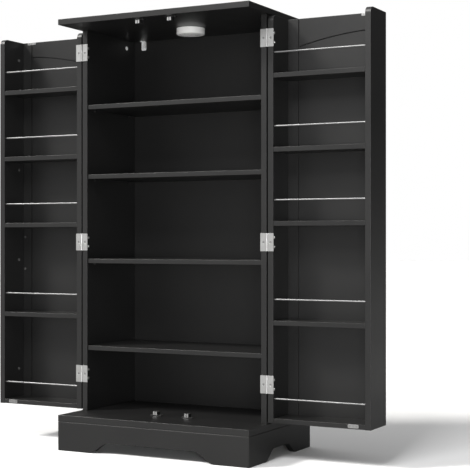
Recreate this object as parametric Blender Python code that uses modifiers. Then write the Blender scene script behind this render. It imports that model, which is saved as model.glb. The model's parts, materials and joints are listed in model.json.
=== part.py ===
"""Free-standing pantry cabinet with two rack doors, shown with both doors opened flat.

Metres, +Z up. The origin is the centre of the footprint on the floor and the front faces -Y.
Each door is a shallow box: a routed panel, two walls, five trays and five guard rails. It hangs on
three butt hinges and folds shut under the overhanging top, above the overhanging base board.
"""

import math

import bmesh
import bpy
from mathutils import Matrix, Vector

# Overall sizes
WIDTH = 0.600
DEPTH = 0.382
HEIGHT = 1.205

# Board thicknesses
BOARD = 0.016
SHELF = 0.0127
BASE_BOARD = 0.018
BACK_BOARD = 0.005
GAP = 0.0003
EDGE = 0.0008

# Carcass
FRONT = -DEPTH / 2
REAR = DEPTH / 2
BASE_TOP = 0.0985
TOP_UNDER = HEIGHT - BOARD
SIDE_OUT = 0.2945
SIDE_IN = SIDE_OUT - BOARD
CASE_FRONT = -0.0785
BACK_FACE = 0.176
SHELF_TOPS = (0.285, 0.534, 0.7755, 0.975)
SHELF_SET_BACK = 0.003
SHELF_SIDE_GAP = 0.0005

# Plinth
PLINTH_TOP = BASE_TOP - BASE_BOARD - GAP
MITRE_GAP = 0.0002
CUT_HEIGHT = 0.030
CUT_STEPS = 8
FRONT_CUT_HALF = 0.198
FRONT_CURVE = 0.065
SIDE_CUT_HALF = 0.095
SIDE_CURVE = 0.055

# Doors, in the opened position
AXIS_X = SIDE_OUT + 0.002
AXIS_Y = CASE_FRONT - 0.0018
DOOR_HINGE_X = 2 * AXIS_X - SIDE_OUT
DOOR_FREE_X = 2 * AXIS_X - 0.002
DOOR_LOW = 0.102
DOOR_HIGH = 1.1855
DOOR_INNER_DEPTH = 0.0925
PANEL_INNER_Y = CASE_FRONT + DOOR_INNER_DEPTH
PANEL_OUTER_Y = PANEL_INNER_Y + BOARD
WALL_ROUND = 0.017
WALL_ROUND_STEPS = 5
TRAY_TOPS = (0.1153, 0.3743, 0.638, 0.8345, 1.0308)
RAIL_ABOVE_TRAY = (0.0512, 0.0558, 0.0564, 0.0560, 0.0556)
RAIL_RADIUS = 0.0025
RAIL_SET_BACK = 0.008
RAIL_SIDES = 12

# Framed look of the door panel
STILE = 0.048
PANEL_CUT_LOW = DOOR_LOW + STILE
ARCH_APEX = 1.1418
ARCH_RADIUS = 0.951
ARCH_STEPS = 8
GROOVE_RADIUS = 0.0025
GROOVE_PROUD = 0.0002
GROOVE_LAP = 0.0007
RECESS = 0.004

# Handles
HANDLE_X = DOOR_FREE_X - 0.023
HANDLE_Z = 0.5485
HANDLE_SPAN = 0.096
HANDLE_REACH = 0.026
HANDLE_RADIUS = 0.005
HANDLE_BEND = 0.012

# Hinges
HINGE_HEIGHTS = (("low", 0.204), ("middle", 0.582), ("high", 1.125))
HINGE_TALL = 0.048
LEAF = 0.0012
BARREL_RADIUS = 0.0024
BARREL_SIDES = 16
PIN_RADIUS = 0.0012
PIN_CLEARANCE = 0.0003
KNUCKLE = 0.016
KNUCKLE_GAP = 0.0004
EAR_REACH = 0.009
EAR_TALL = 0.007
EAR_SPREAD = 0.0125

# Puck light
LIGHT_Y = 0.032
LIGHT_RADIUS = 0.040
LIGHT_TALL = 0.0178
LIGHT_WALL = 0.005
LIGHT_ROOF = 0.004
LENS_CLEARANCE = 0.0005
LENS_TALL = 0.004
LIGHT_STEPS = 40

# Magnetic catches and the wall bracket
CATCH_X = 0.050
CATCH_WIDE = 0.013
CATCH_DEEP = 0.018
CATCH_TALL = 0.0118
CATCH_EAR_WIDE = 0.036
CATCH_EAR_TALL = 0.002
CATCH_LOW_FACE = CASE_FRONT - 0.0023
CATCH_HIGH_FACE = -0.1731
BRACKET_X = -0.2425
BRACKET_WIDE = 0.021
BRACKET_TALL = 0.027
BRACKET_REACH = 0.020
BRACKET_THICK = 0.002

PAINT = ("black_lacquer", (0.030, 0.030, 0.031), 0.38, 0.0)
PLATED = ("nickel_plate", (0.62, 0.62, 0.61), 0.30, 1.0)
CHROME = ("rail_chrome", (0.70, 0.70, 0.71), 0.20, 1.0)
WHITE = ("white_housing", (0.78, 0.78, 0.76), 0.45, 0.0)
DIFFUSER = ("lens_diffuser", (0.86, 0.86, 0.84), 0.35, 0.0)


def clear_scene():
    """Remove every object and leftover collection of the open scene."""
    for obj in list(bpy.data.objects):
        bpy.data.objects.remove(obj, do_unlink=True)
    for group in list(bpy.data.collections):
        bpy.data.collections.remove(group)


def new_collection(name):
    group = bpy.data.collections.new(name)
    bpy.context.scene.collection.children.link(group)
    return group


def material_for(name, finish):
    """One Principled material for one sub-part."""
    slot, colour, roughness, metallic = finish
    made = bpy.data.materials.new(f"{name}_{slot}")
    made.use_nodes = True
    made.diffuse_color = (*colour, 1.0)
    shader = made.node_tree.nodes["Principled BSDF"]
    shader.inputs["Base Color"].default_value = (*colour, 1.0)
    shader.inputs["Roughness"].default_value = roughness
    shader.inputs["Metallic"].default_value = metallic
    return made


def add_mesh(name, mesh, group):
    obj = bpy.data.objects.new(name, mesh)
    group.objects.link(obj)
    return obj


def finish_part(obj, finish, axis=None):
    """Give a part its own material and hang it on its joint's empty, keeping its place."""
    obj.data.materials.clear()
    obj.data.materials.append(material_for(obj.name, finish))
    if axis is not None:
        obj.parent = axis
        obj.matrix_parent_inverse = Matrix.Translation(axis.location).inverted()
    return obj


def box_mesh(name, low, high, bevel=0.0):
    """A box between two corners, centred on its own origin, with small chamfers."""
    size = Vector(high) - Vector(low)
    shape = bmesh.new()
    bmesh.ops.create_cube(shape, size=1.0)
    bmesh.ops.scale(shape, vec=size, verts=shape.verts)
    if bevel:
        bmesh.ops.bevel(shape, geom=shape.edges[:], offset=bevel, segments=1, affect="EDGES")
    mesh = bpy.data.meshes.new(name)
    shape.to_mesh(mesh)
    shape.free()
    return mesh


def box(name, low, high, group, bevel=EDGE):
    obj = add_mesh(name, box_mesh(name, low, high, bevel), group)
    obj.location = (Vector(low) + Vector(high)) / 2
    return obj


def sided_box(name, side, low, high, group, bevel=EDGE):
    """A box given for the right-hand door, mirrored to the left when side is -1."""
    x_low, x_high = sorted((side * low[0], side * high[0]))
    return box(name, (x_low, *low[1:]), (x_high, *high[1:]), group, bevel)


def cylinder_mesh(name, radius, length, sides, axis):
    """A capped cylinder along X or Z, centred on its own origin."""
    shape = bmesh.new()
    bmesh.ops.create_cone(
        shape, cap_ends=True, segments=sides, radius1=radius, radius2=radius, depth=length
    )
    if axis == "X":
        bmesh.ops.rotate(shape, matrix=Matrix.Rotation(math.pi / 2, 3, "Y"), verts=shape.verts)
    mesh = bpy.data.meshes.new(name)
    shape.to_mesh(mesh)
    shape.free()
    mesh.shade_smooth()
    mesh.set_sharp_from_angle(angle=math.radians(40))
    return mesh


def poly_spline(curve, points, cyclic):
    spline = curve.splines.new("POLY")
    spline.points.add(len(points) - 1)
    for target, point in zip(spline.points, points):
        target.co = (*point, 1.0)
    spline.use_cyclic_u = cyclic


def mesh_from_curve(obj, group):
    """Swap a curve object for a mesh object of the same shape and place, with its caps welded."""
    bpy.context.view_layer.update()
    graph = bpy.context.evaluated_depsgraph_get()
    mesh = bpy.data.meshes.new_from_object(obj.evaluated_get(graph))
    welded = bmesh.new()
    welded.from_mesh(mesh)
    bmesh.ops.remove_doubles(welded, verts=welded.verts, dist=1e-5)
    bmesh.ops.recalc_face_normals(welded, faces=welded.faces)
    welded.to_mesh(mesh)
    welded.free()
    name = obj.name
    place = obj.matrix_world.copy()
    bpy.data.objects.remove(obj, do_unlink=True)
    made = add_mesh(name, mesh, group)
    made.matrix_world = place
    return made


def slab_from_outline(name, points, thickness, group):
    """A flat outline in its own XY plane, filled and extruded both ways to a thickness."""
    curve = bpy.data.curves.new(name, "CURVE")
    curve.dimensions = "2D"
    curve.fill_mode = "BOTH"
    curve.extrude = thickness / 2
    poly_spline(curve, [(x, y, 0.0) for x, y in points], cyclic=True)
    return add_mesh(name, curve, group)


def boolean(obj, cutter, operation="DIFFERENCE"):
    cut = obj.modifiers.new(f"{operation.lower()}_{cutter.name}", "BOOLEAN")
    cut.operation = operation
    cut.solver = "EXACT"
    cut.object = cutter


def hide_cutter(obj):
    obj.hide_render = True
    obj.display_type = "WIRE"
    return obj


def ogee(half_width, curve_width):
    """Outline of a plinth cut-out: a flat top that falls to the floor in an S at both ends."""
    right = []
    for step in range(CUT_STEPS + 1):
        share = step / CUT_STEPS
        x = half_width - curve_width * (1 - share)
        z = CUT_HEIGHT * (1 + math.cos(math.pi * share)) / 2
        right.append((x, z))
    below = [(half_width, -CUT_HEIGHT)]
    half = right + below
    return half + [(-x, z) for x, z in reversed(half)]


def plinth_board(name, length, half_width, curve_width, group, cutters):
    """A mitred plinth board along X with its outer face at y = 0, cut out where a curve is given."""
    out = length / 2 - MITRE_GAP
    inner = out - BOARD
    plan = [(-out, 0.0), (out, 0.0), (inner, BOARD), (-inner, BOARD)]
    outline = slab_from_outline(name, plan, PLINTH_TOP, group)
    outline.location = (0.0, 0.0, PLINTH_TOP / 2)
    board = mesh_from_curve(outline, group)
    if curve_width:
        profile = slab_from_outline(f"{name}_cut", ogee(half_width, curve_width), 3 * BOARD, cutters)
        profile.rotation_euler = (math.pi / 2, 0.0, 0.0)
        profile.location = (0.0, BOARD / 2, 0.0)
        cutter = hide_cutter(mesh_from_curve(profile, cutters))
        cutter.parent = board
        cutter.matrix_parent_inverse = board.matrix_world.inverted()
        boolean(board, cutter)
    return board


def build_plinth(group, cutters):
    """Four mitred boards: the front and both sides stand on bracket feet, the rear one is plain."""
    places = (
        ("plinth_front", WIDTH, 0.0, (0.0, FRONT), FRONT_CUT_HALF, FRONT_CURVE),
        ("plinth_right", DEPTH, 90.0, (WIDTH / 2, 0.0), SIDE_CUT_HALF, SIDE_CURVE),
        ("plinth_rear", WIDTH, 180.0, (0.0, REAR), 0.0, 0.0),
        ("plinth_left", DEPTH, -90.0, (-WIDTH / 2, 0.0), SIDE_CUT_HALF, SIDE_CURVE),
    )
    for name, length, turn, (x, y), half_width, curve_width in places:
        board = plinth_board(name, length, half_width, curve_width, group, cutters)
        board.rotation_euler = (0.0, 0.0, math.radians(turn))
        board.location = (x, y, board.location.z)
        finish_part(board, PAINT)


def build_carcass(group):
    boards = [
        box("top_panel", (-WIDTH / 2, FRONT, TOP_UNDER), (WIDTH / 2, REAR, HEIGHT), group),
        box(
            "base_board",
            (-WIDTH / 2, FRONT, BASE_TOP - BASE_BOARD),
            (WIDTH / 2, REAR, BASE_TOP),
            group,
        ),
        box(
            "back_panel",
            (-SIDE_OUT + GAP, BACK_FACE, BASE_TOP + GAP),
            (SIDE_OUT - GAP, BACK_FACE + BACK_BOARD, TOP_UNDER - GAP),
            group,
            bevel=0.0,
        ),
    ]
    for side, word in ((1, "right"), (-1, "left")):
        boards.append(
            sided_box(
                f"side_panel_{word}",
                side,
                (SIDE_IN, CASE_FRONT, BASE_TOP + GAP),
                (SIDE_OUT, BACK_FACE - GAP, TOP_UNDER - GAP),
                group,
            )
        )
    half = SIDE_IN - SHELF_SIDE_GAP
    for number, top in enumerate(SHELF_TOPS, start=1):
        boards.append(
            box(
                f"cabinet_shelf_{number}",
                (-half, CASE_FRONT + SHELF_SET_BACK, top - SHELF),
                (half, BACK_FACE - GAP, top),
                group,
            )
        )
    for board in boards:
        finish_part(board, PAINT)


def arch_height(x):
    """Height of the arched rail's lower edge at distance x from the cabinet's centre."""
    from_apex = DOOR_FREE_X + 0.002 - x
    return ARCH_APEX - ARCH_RADIUS + math.sqrt(ARCH_RADIUS**2 - from_apex**2)


def framed_outline(side):
    """The field inside the door's stiles and rails, in X and Z, under half of the arch."""
    start = DOOR_HINGE_X + STILE
    end = DOOR_FREE_X - STILE
    points = [(start, PANEL_CUT_LOW), (end, PANEL_CUT_LOW)]
    for step in range(ARCH_STEPS + 1):
        x = end + (start - end) * step / ARCH_STEPS
        points.append((x, arch_height(x)))
    return [(side * x, z) for x, z in points]


def groove_cutter(name, line, cutters):
    """A thin bar that follows a line in X and Z along the door panel's inner face."""
    curve = bpy.data.curves.new(name, "CURVE")
    curve.dimensions = "3D"
    curve.bevel_depth = GROOVE_RADIUS
    curve.bevel_resolution = 0
    curve.use_fill_caps = True
    poly_spline(curve, [(x, PANEL_INNER_Y - GROOVE_PROUD, z) for x, z in line], cyclic=False)
    return hide_cutter(mesh_from_curve(add_mesh(name, curve, cutters), cutters))


def build_door_panel(word, side, group, cutters, axis):
    """One board: V-grooves mark the stiles and the arched rail inside, and the field is sunk outside."""
    panel = sided_box(
        f"door_panel_{word}",
        side,
        (DOOR_HINGE_X, PANEL_INNER_Y, DOOR_LOW),
        (DOOR_FREE_X, PANEL_OUTER_Y, DOOR_HIGH),
        group,
    )
    outline = framed_outline(side)
    stiles = (side * (DOOR_HINGE_X + STILE), side * (DOOR_FREE_X - STILE))
    for number, x in enumerate(stiles, start=1):
        line = [(x, DOOR_LOW - 0.01), (x, DOOR_HIGH + 0.01)]
        boolean(panel, groove_cutter(f"stile_groove_{word}_{number}", line, cutters))
    lap = side * GROOVE_LAP
    arch = outline[2:]
    arch[0] = (arch[0][0] + lap, arch[0][1])
    arch[-1] = (arch[-1][0] - lap, arch[-1][1])
    boolean(panel, groove_cutter(f"arch_groove_{word}", arch, cutters))
    recess = slab_from_outline(f"recess_{word}", outline, 2 * RECESS, cutters)
    recess.rotation_euler = (math.pi / 2, 0.0, 0.0)
    recess.location = (0.0, PANEL_OUTER_Y, 0.0)
    recess_cutter = mesh_from_curve(recess, cutters)
    boolean(panel, hide_cutter(recess_cutter))
    finish_part(panel, PAINT, axis)


def round_wall_top(wall):
    """Round the upper front edge of a door wall."""
    shape = bmesh.new()
    shape.from_mesh(wall.data)
    front = min(vert.co.y for vert in shape.verts)
    high = max(vert.co.z for vert in shape.verts)
    corner = [
        edge
        for edge in shape.edges
        if all(abs(v.co.y - front) < GAP and abs(v.co.z - high) < GAP for v in edge.verts)
    ]
    bmesh.ops.bevel(
        shape, geom=corner, offset=WALL_ROUND, segments=WALL_ROUND_STEPS, affect="EDGES", profile=0.5
    )
    shape.to_mesh(wall.data)
    shape.free()


def build_handle(word, side, group, axis):
    """A bow handle of round bar with two bent ends, standing on the panel's outer face."""
    foot = PANEL_OUTER_Y + GAP
    bar = foot + HANDLE_REACH
    half = HANDLE_SPAN / 2
    lower = []
    for step in range(5):
        angle = math.pi / 2 * step / 4
        y = bar - HANDLE_BEND + HANDLE_BEND * math.sin(angle)
        z = HANDLE_Z - half + HANDLE_BEND * (1 - math.cos(angle))
        lower.append((side * HANDLE_X, y, z))
    lower.insert(0, (side * HANDLE_X, foot, HANDLE_Z - half))
    upper = [(x, y, 2 * HANDLE_Z - z) for x, y, z in reversed(lower)]
    curve = bpy.data.curves.new(f"handle_{word}", "CURVE")
    curve.dimensions = "3D"
    curve.bevel_depth = HANDLE_RADIUS
    curve.bevel_resolution = 2
    curve.use_fill_caps = True
    poly_spline(curve, lower + upper, cyclic=False)
    handle = mesh_from_curve(add_mesh(f"handle_{word}", curve, group), group)
    handle.data.shade_smooth()
    handle.data.set_sharp_from_angle(angle=math.radians(40))
    finish_part(handle, PLATED, axis)


def build_door(word, side, group, cutters):
    axis = bpy.data.objects.new(f"door_axis_{word}", None)
    axis.location = (side * AXIS_X, AXIS_Y, BASE_TOP)
    group.objects.link(axis)

    build_door_panel(word, side, group, cutters, axis)
    wall_back = PANEL_INNER_Y - GAP
    walls = (
        ("hinge_wall", DOOR_HINGE_X, DOOR_HINGE_X + BOARD),
        ("free_wall", DOOR_FREE_X - BOARD, DOOR_FREE_X),
    )
    for kind, x_low, x_high in walls:
        low = (x_low, CASE_FRONT, DOOR_LOW)
        high = (x_high, wall_back, DOOR_HIGH)
        wall = sided_box(f"{kind}_{word}", side, low, high, group, bevel=0.0)
        round_wall_top(wall)
        finish_part(wall, PAINT, axis)

    inner = DOOR_HINGE_X + BOARD + GAP
    outer = DOOR_FREE_X - BOARD - GAP
    for number, (top, lift) in enumerate(zip(TRAY_TOPS, RAIL_ABOVE_TRAY), start=1):
        low = (inner, CASE_FRONT + GAP, max(top - SHELF, DOOR_LOW))
        tray = sided_box(f"door_tray_{word}_{number}", side, low, (outer, wall_back, top), group)
        finish_part(tray, PAINT, axis)
        name = f"guard_rail_{word}_{number}"
        rail = add_mesh(name, cylinder_mesh(name, RAIL_RADIUS, outer - inner, RAIL_SIDES, "X"), group)
        rail.location = (side * (inner + outer) / 2, CASE_FRONT + RAIL_SET_BACK, top + lift)
        finish_part(rail, CHROME, axis)

    build_handle(word, side, group, axis)
    return axis


def joined(name, first, others, cuts=()):
    """Union of solids, then cuts, baked to one mesh around the first solid's origin."""
    for other in others:
        boolean(first, other, "UNION")
    for cut in cuts:
        boolean(first, cut)
    bpy.context.view_layer.update()
    graph = bpy.context.evaluated_depsgraph_get()
    mesh = bpy.data.meshes.new_from_object(first.evaluated_get(graph))
    mesh.name = name
    for obj in (first, *others, *cuts):
        bpy.data.objects.remove(obj, do_unlink=True)
    mesh.set_sharp_from_angle(angle=math.radians(40))
    return mesh


def leaf_shapes(cutters, reach_side):
    """Plate and its two small ears, around an axis at the origin; the plate lies against y = 1.8 mm."""
    board_face = CASE_FRONT - AXIS_Y
    front = board_face - GAP - LEAF
    edge = AXIS_X - SIDE_IN + GAP + LEAF
    x_low, x_high = sorted((0.0, reach_side * edge))
    plate = box("leaf_plate", (x_low, front, -HINGE_TALL / 2), (x_high, front + LEAF, HINGE_TALL / 2),
                cutters, bevel=0.0)
    plate.data.transform(Matrix.Translation(plate.location))
    plate.location = (0.0, 0.0, 0.0)
    ears = []
    for sign in (-1, 1):
        x_low, x_high = sorted((reach_side * (edge - LEAF), reach_side * edge))
        middle = sign * EAR_SPREAD
        low = (x_low, front + LEAF / 2, middle - EAR_TALL / 2)
        high = (x_high, board_face + EAR_REACH, middle + EAR_TALL / 2)
        ears.append(box(f"leaf_ear_{middle}", low, high, cutters, bevel=0.0))
    return plate, ears


def round_piece(name, radius, length, z, cutters):
    piece = add_mesh(name, cylinder_mesh(name, radius, length, BARREL_SIDES, "Z"), cutters)
    piece.location = (0.0, 0.0, z)
    return piece


def cabinet_leaf_mesh(cutters):
    """Leaf with the outer two knuckles and the pin that joins them, reaching towards -X."""
    plate, ears = leaf_shapes(cutters, -1)
    clear = round_piece("middle_clear", BARREL_RADIUS + PIN_CLEARANCE, KNUCKLE + KNUCKLE_GAP, 0.0, cutters)
    end_length = (HINGE_TALL - KNUCKLE - KNUCKLE_GAP) / 2
    end_height = (HINGE_TALL - end_length) / 2
    knuckles = [
        round_piece(f"end_knuckle_{sign}", BARREL_RADIUS, end_length, sign * end_height, cutters)
        for sign in (-1, 1)
    ]
    boolean(plate, clear)
    pin = round_piece("hinge_pin", PIN_RADIUS, HINGE_TALL - 2 * LEAF, 0.0, cutters)
    mesh = joined("cabinet_leaf", plate, [*ears, *knuckles, pin])
    bpy.data.objects.remove(clear, do_unlink=True)
    return mesh


def door_leaf_mesh(cutters):
    """Leaf with the bored middle knuckle, reaching towards +X."""
    plate, ears = leaf_shapes(cutters, 1)
    end_length = (HINGE_TALL - KNUCKLE + KNUCKLE_GAP) / 2
    end_height = (HINGE_TALL - end_length) / 2
    clears = [
        round_piece(f"end_clear_{sign}", BARREL_RADIUS + PIN_CLEARANCE, end_length + LEAF,
                    sign * (end_height + LEAF / 2), cutters)
        for sign in (-1, 1)
    ]
    knuckle = round_piece("middle_knuckle", BARREL_RADIUS, KNUCKLE - KNUCKLE_GAP, 0.0, cutters)
    bore = round_piece("pin_bore", PIN_RADIUS + PIN_CLEARANCE, HINGE_TALL, 0.0, cutters)
    return joined("door_leaf", plate, [*ears, knuckle], [*clears, bore])


def build_hinges(group, cutters, axes):
    """Three butt hinges a side. A half turn about Y carries the right-hand leaves to the left."""
    meshes = (("cabinet_leaf", cabinet_leaf_mesh(cutters)), ("door_leaf", door_leaf_mesh(cutters)))
    for word, side in (("right", 1), ("left", -1)):
        for level, z in HINGE_HEIGHTS:
            for kind, mesh in meshes:
                name = f"{kind}_{word}_{level}"
                leaf = add_mesh(name, mesh.copy(), group)
                if side < 0:
                    leaf.data.transform(Matrix.Rotation(math.pi, 4, "Y"))
                leaf.location = (side * AXIS_X, AXIS_Y, z)
                finish_part(leaf, PLATED, axes[word] if kind == "door_leaf" else None)
    for _, mesh in meshes:
        bpy.data.meshes.remove(mesh)


def turned(name, profile, group):
    """A solid turned about Z from a closed profile of radius and height pairs."""
    shape = bmesh.new()
    verts = [shape.verts.new((radius, 0.0, height)) for radius, height in profile]
    for first, second in zip(verts, verts[1:]):
        shape.edges.new((first, second))
    mesh = bpy.data.meshes.new(name)
    shape.to_mesh(mesh)
    shape.free()
    obj = add_mesh(name, mesh, group)
    spin = obj.modifiers.new("turn", "SCREW")
    spin.axis = "Z"
    spin.steps = LIGHT_STEPS
    spin.render_steps = LIGHT_STEPS
    spin.use_merge_vertices = True
    spin.merge_threshold = 0.00001
    spin.use_smooth_shade = True
    return obj


def build_light(group):
    """Battery puck light: a cup screwed under the top, and a domed lens that is pressed to switch it."""
    high = TOP_UNDER - GAP
    low = high - LIGHT_TALL
    hollow = LIGHT_RADIUS - LIGHT_WALL
    round_off = 0.002
    cup = turned(
        "light_housing",
        [
            (0.0, high),
            (LIGHT_RADIUS, high),
            (LIGHT_RADIUS, low + round_off),
            (LIGHT_RADIUS - round_off, low),
            (hollow, low),
            (hollow, high - LIGHT_ROOF),
            (0.0, high - LIGHT_ROOF),
        ],
        group,
    )
    lens_radius = hollow - LENS_CLEARANCE
    lens = turned(
        "light_lens",
        [
            (0.0, low + LENS_TALL),
            (lens_radius, low + LENS_TALL),
            (lens_radius, low + round_off / 2),
            (lens_radius - round_off, low - round_off / 4),
            (0.0, low - round_off / 2),
        ],
        group,
    )
    for part in (cup, lens):
        part.location = (0.0, LIGHT_Y, 0.0)
    finish_part(cup, WHITE)
    finish_part(lens, DIFFUSER)


def build_catches(group, cutters):
    """Magnetic catches: two stand on the base board and two hang under the top, one per door end."""
    for word, side in (("right", 1), ("left", -1)):
        for level in ("low", "high"):
            name = f"magnet_catch_{word}_{level}"
            face = CATCH_LOW_FACE if level == "low" else CATCH_HIGH_FACE
            root = BASE_TOP + GAP if level == "low" else TOP_UNDER - GAP
            away = 1 if level == "low" else -1
            z_low, z_high = sorted((root, root + away * CATCH_TALL))
            ear_low, ear_high = sorted((root, root + away * CATCH_EAR_TALL))
            block = box(
                name,
                (side * CATCH_X - CATCH_WIDE / 2, face, z_low),
                (side * CATCH_X + CATCH_WIDE / 2, face + CATCH_DEEP, z_high),
                group,
                bevel=0.0,
            )
            ears = box(
                f"{name}_ears",
                (side * CATCH_X - CATCH_EAR_WIDE / 2, face + EDGE, ear_low),
                (side * CATCH_X + CATCH_EAR_WIDE / 2, face + CATCH_DEEP - EDGE, ear_high),
                cutters,
                bevel=0.0,
            )
            place = block.location.copy()
            mesh = joined(name, block, [ears])
            catch = add_mesh(name, mesh, group)
            catch.location = place
            finish_part(catch, PLATED)


def build_bracket(group, cutters):
    """Angle bracket in the upper rear corner that takes the anti-tip strap's screw."""
    name = "wall_bracket"
    half = BRACKET_WIDE / 2
    back = BACK_FACE - GAP
    roof = TOP_UNDER - GAP
    upright = box(
        name,
        (BRACKET_X - half, back - BRACKET_THICK, roof - BRACKET_TALL),
        (BRACKET_X + half, back, roof),
        group,
        bevel=0.0,
    )
    shelf = box(
        f"{name}_shelf",
        (BRACKET_X - half, back - BRACKET_REACH, roof - BRACKET_THICK),
        (BRACKET_X + half, back, roof),
        cutters,
        bevel=0.0,
    )
    place = upright.location.copy()
    mesh = joined(name, upright, [shelf])
    bracket = add_mesh(name, mesh, group)
    bracket.location = place
    finish_part(bracket, WHITE)


def main():
    clear_scene()
    cabinet = new_collection("pantry_cabinet")
    cutters = new_collection("cutters")
    build_plinth(cabinet, cutters)
    build_carcass(cabinet)
    axes = {}
    for word, side in (("right", 1), ("left", -1)):
        axes[word] = build_door(word, side, cabinet, cutters)
    build_hinges(cabinet, cutters, axes)
    build_light(cabinet)
    build_catches(cabinet, cutters)
    build_bracket(cabinet, cutters)


main()
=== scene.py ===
"""Looks of a black pantry cabinet: eased boards, grooved doors, hinges, rails, handles and light."""

import json
import math

import bmesh
import bpy
from mathutils import Matrix, Vector


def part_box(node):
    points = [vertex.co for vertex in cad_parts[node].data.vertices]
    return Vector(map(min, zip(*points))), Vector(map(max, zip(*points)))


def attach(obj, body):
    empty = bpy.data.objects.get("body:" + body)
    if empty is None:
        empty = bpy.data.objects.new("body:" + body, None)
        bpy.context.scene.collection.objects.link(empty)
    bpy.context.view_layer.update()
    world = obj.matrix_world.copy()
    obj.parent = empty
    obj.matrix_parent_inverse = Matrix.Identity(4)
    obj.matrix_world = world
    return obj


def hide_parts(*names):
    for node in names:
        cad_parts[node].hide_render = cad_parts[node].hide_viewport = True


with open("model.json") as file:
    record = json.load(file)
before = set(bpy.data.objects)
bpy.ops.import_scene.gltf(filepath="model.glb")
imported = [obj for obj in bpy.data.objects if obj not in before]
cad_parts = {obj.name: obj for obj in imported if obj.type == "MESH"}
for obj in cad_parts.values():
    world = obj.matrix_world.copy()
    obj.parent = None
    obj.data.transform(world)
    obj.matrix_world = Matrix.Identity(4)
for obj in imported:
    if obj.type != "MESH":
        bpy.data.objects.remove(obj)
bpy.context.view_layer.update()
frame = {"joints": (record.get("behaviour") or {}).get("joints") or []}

SIDES = (("right", 1), ("left", -1))
GAP = 0.0003

# Boards
BOARD_EDGE = 0.0009
TRAY_EDGE = 0.0007
WALL_ROUND = 0.017
ROUND_STEPS = 12

# Plinth
CUT_HEIGHT = 0.030
CUT_STEPS = 28
FRONT_CUT = (0.198, 0.065)
SIDE_CUT = (0.095, 0.055)
MITRE_GAP = 0.0002

# Door panels
STILE = 0.048
FOOT_RAIL = 0.048
ARCH_APEX = 1.1418
ARCH_RADIUS = 0.951
ARCH_STEPS = 40
GROOVE_HALF = 0.0018
GROOVE_DEEP = 0.0036
SUNK = 0.0045
COVE = 0.006

# Hinges, on an axis at the origin
LEAF_REACH = 0.0195
LEAF_CORNER = 0.0007
LEAF_CREASE = 0.0029
LEAF_THICK = 0.0012
CREASE_DEEP = 0.0007
SCREW_REACH = 0.0105
KNUCKLE_RADIUS = 0.0024
MIDDLE_KNUCKLE = 0.0078
END_KNUCKLE = 0.0082
EAR_HEIGHTS = (-0.0125, 0.0125)
EAR_HALF = 0.0035
EAR_DEPTH = 0.009
EAR_SCREW_IN = 0.0066

# Handles
HANDLE_BEND = 0.013
BEND_STEPS = 12

# Light
CUP_WALL = 0.005
CUP_ROUND = 0.0028
CUP_ROOF = 0.004
TURN_STEPS = 96
LENS_RIM = 0.0016
LENS_RINGS = 9
RIB_HALF = 0.0006
RIB_HIGH = 0.00035

# Catches and strike plates
CATCH_FOOT = 0.002
CASE_HALF = 0.0065
POLE_NEAR, POLE_FAR = 0.0010, 0.0062
POLE_DEPTH = 0.0042
CATCH_SCREW = 0.0125
STRIKE_THICK = 0.0009
STRIKE_WIDE = 0.030
STRIKE_SCREWS = (-0.0095, 0, 0.0095)

# Wall bracket
SHEET = 0.0016
PLATE_WIDE = 0.0165
WING_DEPTH = 0.010
EYELET_RADIUS = 0.0022

# Small trim
COVER_HEIGHTS = (0.199, 0.528, 0.799, 1.130)
COVER_IN = 0.022
SIDE_COVER = (0.130, 1.165)
PIN_DROP = 0.0027
NAIL_INSET = 0.008
NAIL_ROWS, NAIL_COLUMNS = 9, 5

# Studio
SURROUND_LEFT = 1.1
SURROUND_ABOVE = 0.36
KEY_TRAVEL = (0.83, 0.75, -1.0)
KEY_STRENGTH = 3.2
KEY_SPREAD = 12.0
KEY_COLOUR = (1.0, 0.985, 0.955)


# ---- shaping by hand


def clear_selection():
    """Leave edit mode and drop everything that is selected."""
    if bpy.context.object and bpy.context.object.mode != "OBJECT":
        bpy.ops.object.mode_set(mode="OBJECT")
    bpy.ops.object.select_all(action="DESELECT")


def take_up(piece):
    clear_selection()
    piece.select_set(True)
    bpy.context.view_layer.objects.active = piece


def open_up(piece):
    """Open a piece for editing with nothing on it selected."""
    take_up(piece)
    bpy.ops.object.mode_set(mode="EDIT")
    bpy.ops.mesh.select_all(action="DESELECT")


def close_up():
    bpy.ops.object.mode_set(mode="OBJECT")


def pick(kind, test):
    """Select the open piece's faces or edges whose middle and direction pass a test."""
    bpy.ops.mesh.select_all(action="DESELECT")
    bpy.ops.mesh.select_mode(type=kind)
    shape = bmesh.from_edit_mesh(bpy.context.object.data)
    if kind == "FACE":
        for face in shape.faces:
            if test(face.calc_center_median(), face.normal):
                face.select_set(True)
    else:
        for edge in shape.edges:
            first, second = (corner.co for corner in edge.verts)
            if test((first + second) / 2, (second - first).normalized()):
                edge.select_set(True)
    bmesh.update_edit_mesh(bpy.context.object.data)


def named(name):
    """Name the new primitive and move its place into its mesh."""
    piece = bpy.context.object
    piece.name = name
    piece.data.name = name
    bpy.ops.object.transform_apply(location=True, rotation=True, scale=True)
    return piece


def block(name, low, high):
    clear_selection()
    low, high = Vector(low), Vector(high)
    bpy.ops.mesh.primitive_cube_add(size=1.0, location=(low + high) / 2)
    bpy.context.object.scale = high - low
    return named(name)


def rod(name, start, end, radius, sides=32):
    """A round bar between two points."""
    clear_selection()
    start, end = Vector(start), Vector(end)
    run = end - start
    bpy.ops.mesh.primitive_cylinder_add(
        vertices=sides,
        radius=radius,
        depth=run.length,
        location=(start + end) / 2,
        rotation=run.to_track_quat("Z", "Y").to_euler(),
    )
    return named(name)


def apply_modifier(piece, kind, **settings):
    take_up(piece)
    step = piece.modifiers.new(kind.lower(), kind)
    for name, value in settings.items():
        setattr(step, name, value)
    bpy.ops.object.modifier_apply(modifier=step.name)


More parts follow.
